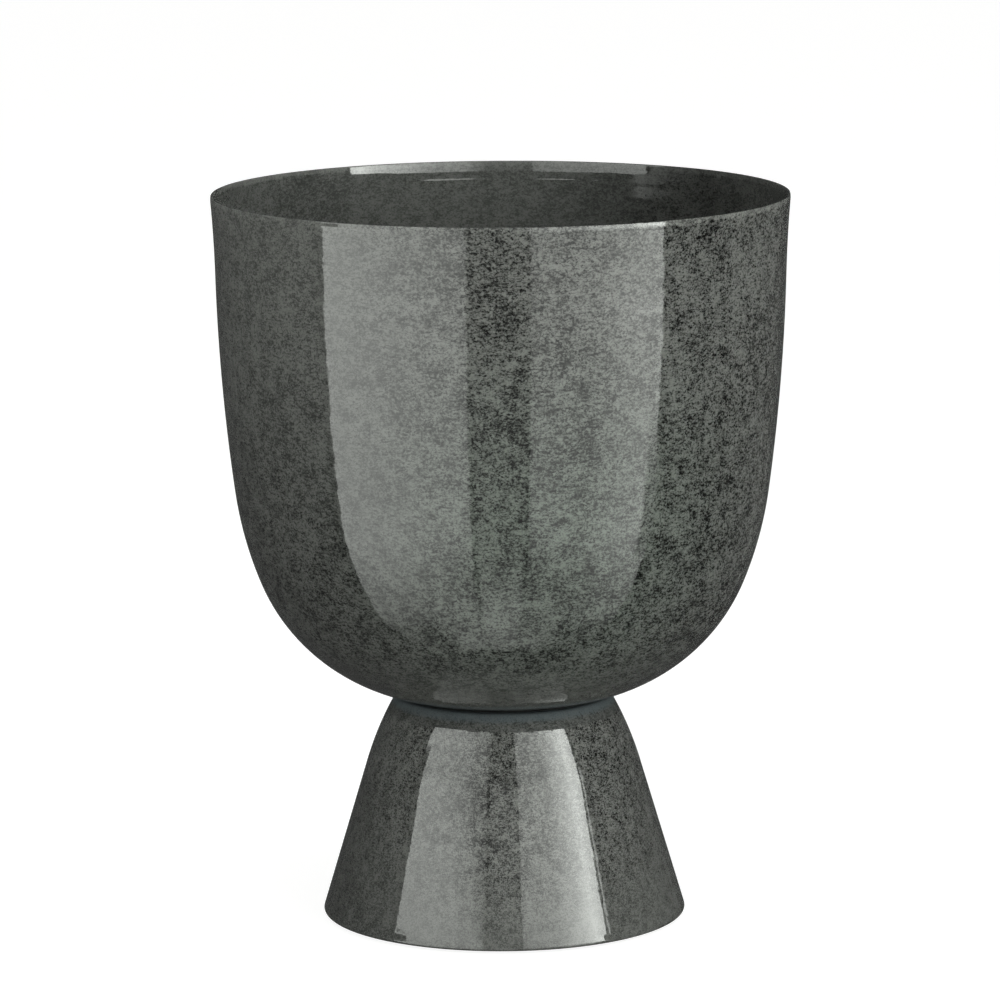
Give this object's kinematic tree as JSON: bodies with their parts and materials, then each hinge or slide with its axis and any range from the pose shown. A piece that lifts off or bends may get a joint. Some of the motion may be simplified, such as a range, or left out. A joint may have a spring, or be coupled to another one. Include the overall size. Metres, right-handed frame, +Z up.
{
  "type": "indoor flower pot",
  "caption": "Round pedestal flower pot: a deep enamelled sheet-steel bowl with a flared lip, clamped by a stud and nut on a hollow conical foot with soft pads.",
  "frame": {"origin": "on the centre line at floor level, under the soft pads", "axes": "+Z up along the pot's centre line; the pot is round, so X and Y run midway between the pads"},
  "size_m": [0.285, 0.285, 0.3621],
  "materials": {
    "speckled_enamel": "glossy vitreous enamel, grey green with fine dark speckle",
    "black_rubber": "matt moulded rubber",
    "zinc_plated_steel": "bright zinc plate",
    "spring_steel": "oiled spring steel"
  },
  "bodies": {
    "root": {"bowl": "speckled_enamel", "foot": "speckled_enamel", "neck_gasket": "black_rubber", "stud_plate": "speckled_enamel", "clamp_stud": "zinc_plated_steel", "clamp_plate": "zinc_plated_steel", "clamp_washer": "zinc_plated_steel", "spring_washer": "spring_steel", "clamp_nut": "zinc_plated_steel", "floor_pads": "black_rubber"}
  },
  "joints": []
}
